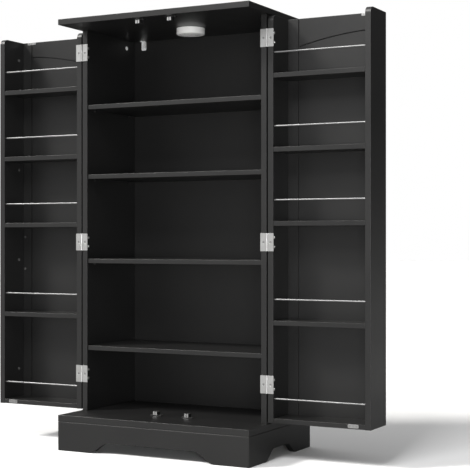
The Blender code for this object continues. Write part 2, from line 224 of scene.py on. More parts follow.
def put_away(*pieces):
    """Remove cutters, and models that were only there to be copied."""
    for piece in pieces:
        bpy.data.objects.remove(piece, do_unlink=True)


def cut_away(piece, cutter):
    apply_modifier(piece, "BOOLEAN", operation="DIFFERENCE", solver="EXACT", object=cutter)
    put_away(cutter)


def slice_off(piece, point, direction):
    """Cut a piece on a plane, close the cut, and drop what lies on the direction's side."""
    open_up(piece)
    bpy.ops.mesh.select_all(action="SELECT")
    bpy.ops.mesh.bisect(plane_co=point, plane_no=direction, use_fill=True, clear_outer=True)
    close_up()


def round_edges(piece, radius, segments, test):
    """Round only the edges whose middle and direction pass a test."""
    open_up(piece)
    pick("EDGE", test)
    bpy.ops.mesh.bevel(offset=radius, segments=segments, affect="EDGES")
    close_up()


def ease(piece, radius, segments=3, sharper_than=35.0):
    """Round every edge that is sharper than an angle."""
    apply_modifier(
        piece,
        "BEVEL",
        width=radius,
        segments=segments,
        limit_method="ANGLE",
        angle_limit=math.radians(sharper_than),
        use_clamp_overlap=False,
    )


def smooth(piece, crease=40.0):
    """Smooth shading that leaves broad faces flat."""
    take_up(piece)
    bpy.ops.object.shade_smooth_by_angle(angle=math.radians(crease))
    apply_modifier(piece, "WEIGHTED_NORMAL", keep_sharp=True)


def join(name, pieces):
    """Join finished pieces into one object."""
    clear_selection()
    for piece in pieces:
        piece.select_set(True)
    bpy.context.view_layer.objects.active = pieces[0]
    bpy.ops.object.join()
    pieces[0].name = name
    pieces[0].data.name = name
    return pieces[0]


def tidy_mesh(piece):
    open_up(piece)
    bpy.ops.mesh.select_all(action="SELECT")
    bpy.ops.mesh.remove_doubles(threshold=1e-6)
    bpy.ops.mesh.normals_make_consistent(inside=False)
    close_up()


def new_object(name, data):
    piece = bpy.data.objects.new(name, data)
    bpy.context.scene.collection.objects.link(piece)
    return piece


def copied(model, name, place):
    """A copy with its own mesh, moved, turned or mirrored by a matrix."""
    mirrored = place.determinant() < 0
    mesh = model.data.copy()
    mesh.transform(place)
    if mirrored:
        mesh.flip_normals()
    mesh.name = name
    piece = new_object(name, mesh)
    if mirrored:
        # The model's shading is stored for its own hand, so a mirrored copy works its own out.
        apply_modifier(piece, "WEIGHTED_NORMAL", keep_sharp=True)
    return piece


def facing(point, direction):
    """The matrix that carries a model standing on the origin along +Z to a point and direction."""
    turn = Vector(direction).to_track_quat("Z", "Y")
    return Matrix.Translation(Vector(point)) @ turn.to_matrix().to_4x4()


def set_out(model, name, places):
    """Copies of a small model at several places, joined into one piece."""
    return join(name, [copied(model, "copy", place) for place in places])


def new_curve(name, points, dimensions="3D"):
    """A curve with one straight-sided line through points."""
    curve = bpy.data.curves.new(name, "CURVE")
    curve.dimensions = dimensions
    line = curve.splines.new("POLY")
    line.points.add(len(points) - 1)
    for point, place in zip(line.points, points):
        point.co = (*place, 1.0)
    return curve


def converted(name, curve):
    """Turn a curve into a mesh."""
    take_up(new_object(name, curve))
    bpy.ops.object.convert(target="MESH")
    return bpy.context.object


def flat_shape(name, outline, y_low, y_high, cove=0.0):
    """A closed outline in X and Z, made solid from one Y to another, with optional rounded ends."""
    curve = new_curve(name, [(x, z, 0.0) for x, z in outline], "2D")
    curve.fill_mode = "BOTH"
    curve.extrude = (y_high - y_low) / 2 - cove
    curve.bevel_depth = cove
    curve.bevel_resolution = 4
    curve.splines[0].use_cyclic_u = True
    upright = Matrix.Rotation(math.pi / 2, 4, "X")
    return meshed(name, curve, Matrix.Translation((0, (y_low + y_high) / 2, 0)) @ upright)


def round_line(name, points, radius, steps):
    """A bar of constant radius that follows points."""
    curve = new_curve(name, points)
    curve.bevel_depth = radius
    curve.bevel_resolution = steps
    curve.use_fill_caps = True
    return meshed(name, curve, Matrix.Identity(4))


def meshed(name, curve, place):
    """Make a curve into a closed mesh whose place is in its points."""
    piece = converted(name, curve)
    piece.data.transform(place)
    tidy_mesh(piece)
    return piece


def turned(name, profile, centre):
    """A solid of revolution about a vertical axis, from radius and height pairs, top to bottom."""
    x, y = centre
    piece = converted(name, new_curve(name, [(x + radius, y, height) for radius, height in profile]))
    open_up(piece)
    bpy.ops.mesh.select_all(action="SELECT")
    bpy.ops.mesh.spin(steps=TURN_STEPS, angle=2 * math.pi, center=(x, y, 0.0), axis=(0, 0, 1))
    close_up()
    tidy_mesh(piece)
    return piece


# ---- finishes


def place_node(tree, kind, links=None, **settings):
    """Add a shader node, set its options, and feed its sockets with values or other sockets."""
    node = tree.nodes.new(kind)
    for name, value in settings.items():
        setattr(node, name, value)
    for socket, value in (links or {}).items():
        if isinstance(value, bpy.types.NodeSocket):
            tree.links.new(value, node.inputs[socket])
        else:
            node.inputs[socket].default_value = value
    return node


def scaled(tree, value, low, high, to_low, to_high):
    """Map a value from one range to another, clamped."""
    links = {"Value": value, "From Min": low, "From Max": high, "To Min": to_low, "To Max": to_high}
    return place_node(tree, "ShaderNodeMapRange", links).outputs["Result"]


def noise(tree, vector, scale, detail=3.0, roughness=0.5):
    links = {"Vector": vector, "Scale": scale, "Detail": detail, "Roughness": roughness}
    return place_node(tree, "ShaderNodeTexNoise", links).outputs["Fac"]


def arithmetic(tree, operation, first, second):
    return place_node(tree, "ShaderNodeMath", {0: first, 1: second}, operation=operation).outputs[0]


def effect(name, inputs, outputs):
    """A shader node group with number inputs and outputs."""
    group = bpy.data.node_groups.new(name, "ShaderNodeTree")
    for label, default in inputs.items():
        socket = group.interface.new_socket(label, in_out="INPUT", socket_type="NodeSocketFloat")
        socket.default_value = default
    for label in outputs:
        group.interface.new_socket(label, in_out="OUTPUT", socket_type="NodeSocketFloat")
    given = group.nodes.new("NodeGroupInput").outputs
    result = group.nodes.new("NodeGroupOutput").inputs
    return group, given, result


def worn_and_highlit_edge_effect():
    """A broken mask along the arrises, where lacquer and plating rub thin; the lacquer also uses it to lay a
    painted edge highlight.
    """
    group, given, result = effect("worn and highlit edges", {"Radius": 0.001, "Scale": 60.0}, ("Wear and highlight",))
    rounded = place_node(group, "ShaderNodeBevel", {"Radius": given["Radius"]}, samples=6)
    geometry = place_node(group, "ShaderNodeNewGeometry")
    likeness = place_node(
        group,
        "ShaderNodeVectorMath",
        {0: rounded.outputs["Normal"], 1: geometry.outputs["Normal"]},
        operation="DOT_PRODUCT",
    ).outputs["Value"]
    edge = scaled(group, likeness, 0.995, 0.90, 0.0, 1.0)
    place = place_node(group, "ShaderNodeTexCoord").outputs["Object"]
    broken = scaled(group, noise(group, place, given["Scale"], 5.0, 0.65), 0.42, 0.66, 0.0, 1.0)
    group.links.new(arithmetic(group, "MULTIPLY", edge, broken), result["Wear and highlight"])
    return group


def sprayed_skin_effect():
    """The faint orange peel, cloudiness and dust nibs of a sprayed lacquer."""
    group, given, result = effect(
        "sprayed skin", {"Peel scale": 420.0, "Cloud scale": 5.0}, ("Height", "Cloud", "Nibs")
    )
    place = place_node(group, "ShaderNodeTexCoord").outputs["Object"]
    peel = noise(group, place, given["Peel scale"], 2.0, 0.45)
    swell = noise(group, place, 38.0, 2.0, 0.5)
    nibs = place_node(
        group, "ShaderNodeTexVoronoi", {"Vector": place, "Scale": 95.0, "Randomness": 1.0}, feature="F1"
    ).outputs["Distance"]
    nib = scaled(group, nibs, 0.035, 0.075, 1.0, 0.0)
    height = arithmetic(group, "ADD", peel, arithmetic(group, "MULTIPLY", swell, 1.6))
    height = arithmetic(group, "ADD", height, arithmetic(group, "MULTIPLY", nib, 0.5))
    group.links.new(height, result["Height"])
    group.links.new(noise(group, place, given["Cloud scale"], 5.0, 0.6), result["Cloud"])
    group.links.new(nib, result["Nibs"])
    return group


def settled_dust_effect():
    """A thin veil on faces that look up, patchy and never even."""
    group, given, result = effect("settled dust", {"Amount": 1.0}, ("Dust",))
    geometry = place_node(group, "ShaderNodeNewGeometry")
    up = place_node(group, "ShaderNodeSeparateXYZ", {0: geometry.outputs["Normal"]}).outputs["Z"]
    level = scaled(group, up, 0.6, 1.0, 0.0, 1.0)
    place = place_node(group, "ShaderNodeTexCoord").outputs["Object"]
    patchy = scaled(group, noise(group, place, 14.0, 6.0, 0.7), 0.35, 0.75, 0.2, 1.0)
    veil = arithmetic(group, "MULTIPLY", level, patchy)
    group.links.new(arithmetic(group, "MULTIPLY", veil, given["Amount"]), result["Dust"])
    return group


def brushed_effect():
    """Fine drawn lines. The scale along them is small, and the two across them are large."""
    group, given, result = effect(
        "brushed lines", {"Along X": 900.0, "Along Y": 900.0, "Along Z": 12.0}, ("Lines",)
    )
    place = place_node(group, "ShaderNodeTexCoord").outputs["Object"]
    stretch = place_node(
        group,
        "ShaderNodeCombineXYZ",
        {"X": given["Along X"], "Y": given["Along Y"], "Z": given["Along Z"]},
    ).outputs["Vector"]
    drawn = place_node(
        group, "ShaderNodeVectorMath", {0: place, 1: stretch}, operation="MULTIPLY"
    ).outputs["Vector"]
    group.links.new(noise(group, drawn, 1.0, 4.0, 0.6), result["Lines"])
    return group


EFFECTS = {
    "worn and highlit edges": worn_and_highlit_edge_effect(),
    "sprayed skin": sprayed_skin_effect(),
    "settled dust": settled_dust_effect(),
    "brushed lines": brushed_effect(),
}


def use_effect(tree, name, **values):
    """Place one of the shared effects in a finish; input names are given with underscores."""
    node = place_node(tree, "ShaderNodeGroup", node_tree=EFFECTS[name])
    for label, value in values.items():
        node.inputs[label.replace("_", " ")].default_value = value
    return node.outputs


def new_finish(name, **plain):
    """A material whose even values are set straight on its shader."""
    made = bpy.data.materials.new(name)
    made.use_nodes = True
    shader = made.node_tree.nodes["Principled BSDF"]
    for label, value in plain.items():
        shader.inputs[label.replace("_", " ")].default_value = value
    return made, made.node_tree, shader.inputs


def blended(tree, mask, first, second):
    """Mix two colours by a mask."""
    mix = place_node(tree, "ShaderNodeMix", {"Factor": mask}, data_type="RGBA")
    for socket, value in ((mix.inputs[6], first), (mix.inputs[7], second)):
        if isinstance(value, bpy.types.NodeSocket):
            tree.links.new(value, socket)
        else:
            socket.default_value = (*value, 1.0)
    return mix.outputs[2]


def bumped(tree, height, strength, distance):
    links = {"Height": height, "Strength": strength, "Distance": distance}
    return place_node(tree, "ShaderNodeBump", links).outputs["Normal"]


def lacquer(name, dark, light, gloss, wear_and_highlight):
    """Near-black sprayed lacquer on fibreboard."""
    made, tree, shader = new_finish(name, Coat_Roughness=0.2)
    skin = use_effect(tree, "sprayed skin")
    edges = use_effect(tree, "worn and highlit edges", Radius=0.0012, Scale=70.0)
    dust = use_effect(tree, "settled dust")["Dust"]
    cloud = scaled(tree, skin["Cloud"], 0.3, 0.7, 0.0, 1.0)
    colour = blended(tree, cloud, dark, light)
    # Arrises lighten towards (0.045, 0.043, 0.040): partly rubbed-through lacquer, partly a painted edge
    # highlight.
    rubbed_and_highlit = arithmetic(tree, "MULTIPLY", edges["Wear and highlight"], wear_and_highlight)
    colour = blended(tree, rubbed_and_highlit, colour, (0.045, 0.043, 0.040))
    colour = blended(tree, arithmetic(tree, "MULTIPLY", dust, 0.014), colour, (0.30, 0.29, 0.28))
    tree.links.new(colour, shader["Base Color"])
    sheen = scaled(tree, skin["Cloud"], 0.25, 0.75, gloss[0], gloss[1])
    dulled = arithmetic(tree, "ADD", sheen, arithmetic(tree, "MULTIPLY", dust, 0.03))
    tree.links.new(dulled, shader["Roughness"])
    tree.links.new(bumped(tree, skin["Height"], 0.6, 0.00006), shader["Normal"])
    return made


def plated(name, colour, tint, gloss, along, bump):
    """Bright plated steel with drawn lines, slight tarnish and edges that rub brighter."""
    made, tree, shader = new_finish(name, Metallic=1.0)
    lines = use_effect(tree, "brushed lines", **along)["Lines"]
    skin = use_effect(tree, "sprayed skin", Peel_scale=240.0, Cloud_scale=45.0)
    edges = use_effect(tree, "worn and highlit edges", Radius=0.0006, Scale=160.0)
    base = blended(tree, scaled(tree, skin["Cloud"], 0.35, 0.7, 0.0, 1.0), colour, tint)
    brighter = tuple(min(1.0, channel * 1.12) for channel in colour)
    tree.links.new(blended(tree, edges["Wear and highlight"], base, brighter), shader["Base Color"])
    tree.links.new(scaled(tree, lines, 0.25, 0.75, gloss[0], gloss[1]), shader["Roughness"])
    tree.links.new(bumped(tree, lines, 0.5, bump), shader["Normal"])
    return made


def moulded(name, colour, shade, gloss, grain):
    """Moulded plastic with a spark-eroded grain."""
    made, tree, shader = new_finish(name)
    skin = use_effect(tree, "sprayed skin", Peel_scale=grain, Cloud_scale=22.0)
    dust = use_effect(tree, "settled dust")["Dust"]
    cloud = scaled(tree, skin["Cloud"], 0.3, 0.7, 0.0, 1.0)
    base = blended(tree, cloud, colour, shade)
    veil = arithmetic(tree, "MULTIPLY", dust, 0.10)
    tree.links.new(blended(tree, veil, base, (0.45, 0.44, 0.42)), shader["Base Color"])
    tree.links.new(scaled(tree, skin["Cloud"], 0.3, 0.7, gloss[0], gloss[1]), shader["Roughness"])
    tree.links.new(bumped(tree, skin["Height"], 0.5, 0.00004), shader["Normal"])
    return made


def pressed_back_finish():
    """Thin hardboard with a printed black face: duller than the lacquer, with pressed fibres."""
    made, tree, shader = new_finish("black faced hardboard")
    skin = use_effect(tree, "sprayed skin", Peel_scale=700.0, Cloud_scale=9.0)
    fibres = use_effect(tree, "brushed lines", Along_X=260.0, Along_Y=260.0, Along_Z=18.0)["Lines"]
    cloud = scaled(tree, skin["Cloud"], 0.3, 0.7, 0.0, 1.0)
    base = blended(tree, cloud, (0.0044, 0.0044, 0.0045), (0.0062, 0.0061, 0.0059))
    raised = scaled(tree, fibres, 0.5, 0.8, 0.0, 0.25)
    tree.links.new(blended(tree, raised, base, (0.022, 0.021, 0.020)), shader["Base Color"])
    tree.links.new(scaled(tree, fibres, 0.3, 0.7, 0.42, 0.56), shader["Roughness"])
    tree.links.new(bumped(tree, fibres, 0.4, 0.00008), shader["Normal"])
    return made


def raw_edge_finish():
    """Sawn softwood for the glue blocks under the base."""
    made, tree, shader = new_finish("sawn pine")
    rings = use_effect(tree, "brushed lines", Along_X=22.0, Along_Y=260.0, Along_Z=260.0)["Lines"]
    skin = use_effect(tree, "sprayed skin", Peel_scale=500.0, Cloud_scale=30.0)
    base = blended(tree, scaled(tree, rings, 0.35, 0.65, 0.0, 1.0), (0.50, 0.36, 0.21), (0.66, 0.51, 0.33))
    stain = scaled(tree, skin["Cloud"], 0.4, 0.8, 0.0, 0.4)
    tree.links.new(blended(tree, stain, base, (0.36, 0.24, 0.13)), shader["Base Color"])
    tree.links.new(scaled(tree, rings, 0.3, 0.7, 0.6, 0.8), shader["Roughness"])
    tree.links.new(bumped(tree, rings, 0.5, 0.0002), shader["Normal"])
    return made


ALONG_Z = {"Along_X": 1400.0, "Along_Y": 1400.0, "Along_Z": 40.0}
ALONG_X = {"Along_X": 30.0, "Along_Y": 1400.0, "Along_Z": 1400.0}

FINISHES = {
    "lacquer": lacquer(
        "black lacquer", (0.0056, 0.0056, 0.0057), (0.0069, 0.0068, 0.0066), (0.37, 0.44), 0.35
    ),
    "tray lacquer": lacquer(
        "tray lacquer", (0.0060, 0.0060, 0.0061), (0.0074, 0.0073, 0.0071), (0.35, 0.42), 0.45
    ),
    "hardboard": pressed_back_finish(),
    "nickel": plated("hinge nickel", (0.60, 0.60, 0.597), (0.52, 0.52, 0.51), (0.32, 0.44), ALONG_Z, 0.00001),
    "chrome": plated(
        "rail chrome", (0.235, 0.235, 0.237), (0.20, 0.20, 0.20), (0.42, 0.50), ALONG_X, 0.0000005
    ),
    "satin nickel": plated(
        "handle nickel", (0.62, 0.61, 0.595), (0.52, 0.51, 0.49), (0.26, 0.38), ALONG_Z, 0.00002
    ),
    "zinc": plated("catch zinc", (0.97, 0.97, 0.965), (0.90, 0.90, 0.895), (0.16, 0.26), ALONG_X, 0.000004),
    "strike steel": plated(
        "strike steel", (0.44, 0.44, 0.437), (0.34, 0.34, 0.335), (0.34, 0.50), ALONG_X, 0.00002
    ),
    "screw steel": plated(
        "screw steel", (0.36, 0.36, 0.36), (0.26, 0.26, 0.26), (0.30, 0.50), ALONG_X, 0.00002
    ),
    "white coat": moulded("bracket white", (0.95, 0.95, 0.945), (0.91, 0.91, 0.905), (0.30, 0.42), 520.0),
    "housing": moulded("light housing", (0.92, 0.92, 0.90), (0.88, 0.88, 0.86), (0.36, 0.46), 900.0),
    "diffuser": moulded("light diffuser", (0.94, 0.94, 0.92), (0.91, 0.91, 0.89), (0.22, 0.32), 300.0),
    "cover grey": moulded("cover grey", (0.085, 0.085, 0.084), (0.065, 0.065, 0.064), (0.35, 0.50), 800.0),
    "pin black": moulded("pin black", (0.010, 0.010, 0.010), (0.007, 0.007, 0.007), (0.45, 0.60), 800.0),
    "pine": raw_edge_finish(),
}


def fit(piece, body, slot, finish, *nodes):
    """Give a finished piece its finish and its body, in place of any CAD nodes named; the slot is not used.
    """
    piece.data.materials.clear()
    piece.data.materials.append(FINISHES[finish])
    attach(piece, body)
    for node in nodes:
        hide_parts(node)
    return piece


# ---- carcass


def build_flat_boards():
    """Top, base, sides, shelves and back: square boards with eased arrises."""
    nodes = ["top_panel", "base_board", "side_panel_left", "side_panel_right"]
    nodes += [f"cabinet_shelf_{number}" for number in range(1, 5)]
    for node in nodes:
        board = block(f"{node}_eased", *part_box(node))
        ease(board, BOARD_EDGE)
        smooth(board)
        fit(board, "carcass", "black_lacquer", "lacquer", node)
    back = block("back_panel_sheet", *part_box("back_panel"))
    ease(back, 0.0004, 2)
    smooth(back)
    fit(back, "carcass", "back_board", "hardboard", "back_panel")


def ogee_outline(half_width, curve_width):
    """A plinth cut-out: a flat top that falls to the floor in an S at both ends."""
    right = [(half_width, -CUT_HEIGHT)]
    for step in range(CUT_STEPS + 1):
        share = step / CUT_STEPS
        z = CUT_HEIGHT * (1 - math.cos(math.pi * share)) / 2
        right.append((half_width - curve_width * share, z))
    return right + [(-x, z) for x, z in reversed(right)]


def plinth_board(name, length, height, thickness, cut):
    """A plinth board along X with its outer face on y = 0 and both ends mitred."""
    half = length / 2 - MITRE_GAP
    board = block(name, (-half, 0, 0), (half, thickness, height))
    if cut:
        cut_away(board, flat_shape("foot_cut", ogee_outline(*cut), -thickness, 2 * thickness))
    for end in (-1, 1):
        slice_off(board, (end * half, 0, 0), (end, 1, 0))
    tidy_mesh(board)
    ease(board, 0.0011, 3, 30.0)
    smooth(board, 30.0)
    return board


def build_plinth():
    low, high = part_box("base_board")
    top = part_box("plinth_front")[1].z
    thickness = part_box("plinth_front")[1].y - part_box("plinth_front")[0].y
    width, depth = high.x - low.x, high.y - low.y
    sides = (
        ("plinth_front", width, 0, (0, low.y), FRONT_CUT),
        ("plinth_right", depth, 90, (high.x, 0), SIDE_CUT),
        ("plinth_rear", width, 180, (0, high.y), None),
        ("plinth_left", depth, -90, (low.x, 0), SIDE_CUT),
    )
    for node, length, angle, (x, y), cut in sides:
        board = plinth_board(f"{node}_eased", length, top, thickness, cut)
        turn = Matrix.Rotation(math.radians(angle), 4, "Z")
        board.data.transform(Matrix.Translation((x, y, 0)) @ turn)
        fit(board, "carcass", "black_lacquer", "lacquer", node)
    build_glue_blocks(high, top, thickness)


def build_glue_blocks(high, top, thickness):
    """Triangular pine blocks glued in the four inner corners of the plinth."""
    leg = 0.045
    blocks = []
    for x_side in (-1, 1):
        for y_side in (-1, 1):
            x = x_side * (high.x - thickness - 0.001)
            y = y_side * (high.y - thickness - 0.001)
            corner = block(
                f"glue_block_{x_side}_{y_side}",
                (min(x, x - x_side * leg), min(y, y - y_side * leg), top - 0.055),
                (max(x, x - x_side * leg), max(y, y - y_side * leg), top - 0.002),
            )
            slice_off(corner, (x - x_side * leg, y, 0), (-x_side, -y_side, 0))
            tidy_mesh(corner)
            ease(corner, 0.001, 2)
            smooth(corner)
            blocks.append(corner)
    fit(join("glue_blocks", blocks), "carcass", "black_lacquer", "pine")


# ---- doors


def arch_height(distance):
    """Lower edge of the arched top rail, at a distance from the middle of the closed pair of doors."""
    return ARCH_APEX - ARCH_RADIUS + math.sqrt(ARCH_RADIUS**2 - distance**2)


def stile_lines(low, high):
    """X of the two stile joints of the right-hand door."""
    return low.x + STILE, high.x - STILE


def arch_points(low, high):
    """The arch from the hinge stile to the free stile of the right-hand door, in X and Z."""
    start, end = stile_lines(low, high)
    points = []
    for step in range(ARCH_STEPS + 1):
        x = start + (end - start) * step / ARCH_STEPS
        points.append((x, arch_height(high.x + 0.002 - x)))
    return points


def door_panel_model():
    """The right-hand door panel: grooved inside along its joints, sunk outside within its frame."""
    low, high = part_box("door_panel_right")
    panel = block("door_panel_model", low, high)
    arch = arch_points(low, high)
    start, end = stile_lines(low, high)
    foot = low.z + FOOT_RAIL
    field = [(end, foot), (start, foot)] + [(x, z - 0.004) for x, z in arch]
    cut_away(panel, flat_shape("sunk_field", field, high.y - SUNK, high.y + 0.02, COVE))
    ease(panel, 0.0008, 3, 32.0)
    past = 0.01
    bed = low.y + GROOVE_DEEP
    for x in (start, end):
        groove_low = (x - GROOVE_HALF, low.y - past, low.z - past)
        cut_away(panel, block("stile_groove", groove_low, (x + GROOVE_HALF, bed, high.z + past)))
    upper = [(x, z + GROOVE_HALF) for x, z in arch]
    lower = [(x, z - GROOVE_HALF) for x, z in reversed(arch)]
    cut_away(panel, flat_shape("arch_groove", upper + lower, low.y - past, bed - 0.0001))
    smooth(panel, 32.0)
    return panel


def wall_model(node):
    """A door wall with its upper front corner rounded."""
    low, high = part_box(node)
    wall = block(f"{node}_model", low, high)

    def is_corner(middle, along):
        return abs(middle.y - low.y) < GAP and abs(middle.z - high.z) < GAP and abs(along.x) > 0.9

    round_edges(wall, WALL_ROUND, ROUND_STEPS, is_corner)
    ease(wall, BOARD_EDGE)
    smooth(wall, 30.0)
    return wall


def tray_model(node):
    tray = block(f"{node}_model", *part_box(node))
    ease(tray, TRAY_EDGE)
    smooth(tray)
    return tray


def rail_model(node):
    """A guard rail: polished bar with a small turned collar where it enters each wall."""
    low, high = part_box(node)
    middle = (low + high) / 2
    radius = (high.z - low.z) / 2
    rail = rod(f"{node}_model", (low.x, middle.y, middle.z), (high.x, middle.y, middle.z), radius, 28)
    for end in (-1, 1):
        open_up(rail)
        pick("FACE", lambda spot, out: out.x * end > 0.9)
        bpy.ops.mesh.inset(thickness=radius * 0.3, depth=0)
        bpy.ops.mesh.extrude_region_move(TRANSFORM_OT_translate={"value": (-end * 0.0006, 0, 0)})
        close_up()
    ease(rail, 0.0004, 2)
    smooth(rail, 32.0)
    return rail


def mirror_for(side):
    return Matrix.Diagonal((side, 1, 1, 1))


def build_doors():
    """Model each right-hand door part once, then copy it to both doors."""
    models = [
        ("door_panel_{}", door_panel_model(), "black_lacquer", "lacquer"),
        ("hinge_wall_{}", wall_model("hinge_wall_right"), "black_lacquer", "lacquer"),
        ("free_wall_{}", wall_model("free_wall_right"), "black_lacquer", "lacquer"),
    ]
    for number in range(1, 6):
        tray, rail = f"door_tray_{{}}_{number}", f"guard_rail_{{}}_{number}"
        models.append((tray, tray_model(tray.format("right")), "black_lacquer", "tray lacquer"))
        models.append((rail, rail_model(rail.format("right")), "rail_chrome", "chrome"))
    for word, side in SIDES:
        for pattern, model, slot, finish in models:
            node = pattern.format(word)
            part = copied(model, f"{node}_finished", mirror_for(side))
            fit(part, f"door_{word}", slot, finish, node)
    put_away(*(model for _, model, _, _ in models))


def handle_model():
    """Bow handle of the right-hand door: a bent bar on two turned feet."""
    low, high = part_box("handle_right")
    radius = (high.x - low.x) / 2
    x = (low.x + high.x) / 2
    bar = high.y - radius
    lower = low.z + radius
    points = [(x, low.y, lower)]
    for step in range(BEND_STEPS + 1):
        angle = math.pi / 2 * step / BEND_STEPS
        y = bar - HANDLE_BEND + HANDLE_BEND * math.sin(angle)
        points.append((x, y, lower + HANDLE_BEND * (1 - math.cos(angle))))
    centre = (low.z + high.z) / 2
    points += [(px, py, 2 * centre - pz) for px, py, pz in reversed(points)]
    bow = round_line("bow", points, radius * 0.94, 6)
    pieces = [bow]
    for z in (low.z + radius, high.z - radius):
        foot = rod("foot", (x, low.y, z), (x, low.y + 0.004, z), radius, 40)
        round_edges(foot, 0.0012, 3, lambda middle, along: middle.y > low.y + 0.0035)
        pieces.append(foot)
    for piece in pieces:
        smooth(piece, 45.0)
    return join("handle_model", pieces)


def build_handles():
    model = handle_model()
    for word, side in SIDES:
        handle = copied(model, f"handle_{word}_finished", mirror_for(side))
        fit(handle, f"door_{word}", "handle_nickel", "satin nickel", f"handle_{word}")
    put_away(model)


# ---- hinges


def knuckle(name, radius, z_low, z_high):
    piece = rod(name, (0, 0, z_low), (0, 0, z_high), radius, 28)
    ease(piece, 0.00035, 2, 50.0)
    smooth(piece, 35.0)
    return piece


def leaf_plate(name, reach_side, front, back, tall):
    """The flat of a leaf with rounded outer corners and a countersunk screw hole."""
    x_low, x_high = sorted((reach_side * 0.0015, reach_side * LEAF_REACH))
    plate = block(name, (x_low, front, -tall / 2), (x_high, back, tall / 2))
    outer = reach_side * LEAF_REACH
    round_edges(plate, LEAF_CORNER, 4, lambda spot, along: abs(spot.x - outer) < GAP and abs(along.y) > 0.9)
    x = reach_side * SCREW_REACH
    clear_selection()
    bpy.ops.mesh.primitive_cone_add(
        vertices=32,
        radius1=0.0038,
        radius2=0.0016,
        depth=0.0022,
        location=(x, front + 0.0009, 0),
        rotation=(-math.pi / 2, 0, 0),
    )
    cut_away(plate, named("countersink"))
    crease = reach_side * LEAF_CREASE
    half = 0.0003
    bed = front + CREASE_DEEP
    cut_away(plate, block("crease", (crease - half, front - 0.001, -tall), (crease + half, bed, tall)))
    ease(plate, 0.00025, 2, 40.0)
    smooth(plate, 40.0)
    return plate


def ear(name, reach_side, front, back, z):
    """A small tab that wraps onto the board's inner face."""
    x_low, x_high = sorted((reach_side * (LEAF_REACH - LEAF_THICK), reach_side * LEAF_REACH))
    tab = block(name, (x_low, front, z - EAR_HALF), (x_high, back, z + EAR_HALF))
    round_edges(tab, 0.0022, 4, lambda spot, along: abs(spot.y - back) < GAP and abs(along.x) > 0.9)
    ease(tab, 0.00025, 2, 40.0)
    smooth(tab, 40.0)
    return tab


def board_face():
    """Y of the sides' front edges, measured from the hinge axis."""
    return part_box("side_panel_right")[0].y - hinge_axis("right").y


def hinge_leaf_model(kind, reach_side):
    """A whole leaf about its pin: plate, ears and its own knuckles."""
    low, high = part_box(f"{kind}_right_high")
    tall = high.z - low.z
    face = board_face()
    front = face - GAP - LEAF_THICK
    pieces = [leaf_plate("plate", reach_side, front, face - GAP, tall)]
    for z in EAR_HEIGHTS:
        pieces.append(ear("ear", reach_side, front + 0.0006, face + EAR_DEPTH, z))
    if kind == "cabinet_leaf":
        for sign in (-1, 1):
            z_low, z_high = sorted((sign * END_KNUCKLE, sign * tall / 2))
            pieces.append(knuckle("end_knuckle", KNUCKLE_RADIUS, z_low, z_high))
    else:
        pieces.append(knuckle("middle_knuckle", KNUCKLE_RADIUS, -MIDDLE_KNUCKLE, MIDDLE_KNUCKLE))
    return join(f"{kind}_model", pieces)


def hinge_axis(word):
    for joint in frame["joints"]:
        if joint["name"] == f"door_{word}_hinge":
            return Vector(joint["pos_m"])
    raise SystemExit(f"no joint for the {word} door")


def screw_model(name, radius, height):
    """A domed cross-recess screw head standing on the origin along +Z."""
    head = rod(name, (0, 0, 0), (0, 0, height), radius, 20)
    round_edges(head, height * 0.6, 2, lambda middle, along: middle.z > height * 0.9)
    for turn in (0, 90):
        slot_long, slot_wide = radius * 0.62, radius * 0.13
        slot = block("slot", (-slot_long, -slot_wide, height * 0.35), (slot_long, slot_wide, height * 2))
        slot.data.transform(Matrix.Rotation(math.radians(turn + 45), 4, "Z"))
        cut_away(head, slot)
    smooth(head, 40.0)
    return head


def build_hinges():
    """Six hinges. A half turn about Y carries the right-hand leaves to the left."""
    leaves = {
        "cabinet_leaf": hinge_leaf_model("cabinet_leaf", -1),
        "door_leaf": hinge_leaf_model("door_leaf", 1),
    }
    plate_screw = screw_model("plate_screw", 0.0030, 0.0007)
    ear_screw = screw_model("ear_screw", 0.0022, 0.0010)
    for word, side in SIDES:
        axis = hinge_axis(word)
        half_turn = Matrix.Identity(4) if side > 0 else Matrix.Rotation(math.pi, 4, "Y")
        for level in ("low", "middle", "high"):
            low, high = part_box(f"cabinet_leaf_{word}_{level}")
            place = Matrix.Translation((axis.x, axis.y, (low.z + high.z) / 2)) @ half_turn
            for kind, leaf in leaves.items():
                body = "carcass" if kind == "cabinet_leaf" else f"door_{word}"
                node = f"{kind}_{word}_{level}"
                fit(copied(leaf, f"{node}_finished", place), body, "hinge_nickel", "nickel", node)
                build_leaf_screws(kind, node, place, body, plate_screw, ear_screw)
            pin = hinge_pin(f"hinge_pin_{word}_{level}", high.z - low.z)
            pin.data.transform(place)
            fit(pin, "carcass", "hinge_nickel", "satin nickel")
    put_away(*leaves.values(), plate_screw, ear_screw)


def hinge_pin(name, tall):
    """The pin with its two domed heads."""
    pin = rod(name, (0, 0, -tall / 2 + 0.0004), (0, 0, tall / 2 - 0.0004), 0.0012, 20)
    ease(pin, 0.0004, 3, 50.0)
    smooth(pin, 35.0)
    return pin


def build_leaf_screws(kind, node, place, body, plate_screw, ear_screw):
    """One countersunk screw in the plate and one small screw in each ear."""
    reach = -1 if kind == "cabinet_leaf" else 1
    front = board_face() - GAP - LEAF_THICK
    spot = (reach * SCREW_REACH, front + 0.0007, 0)
    screw = copied(plate_screw, f"{node}_screw", place @ facing(spot, (0, -1, 0)))
    fit(screw, body, "hinge_nickel", "screw steel")
    x, y = reach * (LEAF_REACH - 0.0001), front + EAR_SCREW_IN
    places = [place @ facing((x, y, z), (reach, 0, 0)) for z in EAR_HEIGHTS]
    fit(set_out(ear_screw, f"{node}_ear_screws", places), body, "hinge_nickel", "zinc")


# ---- light, catches, bracket


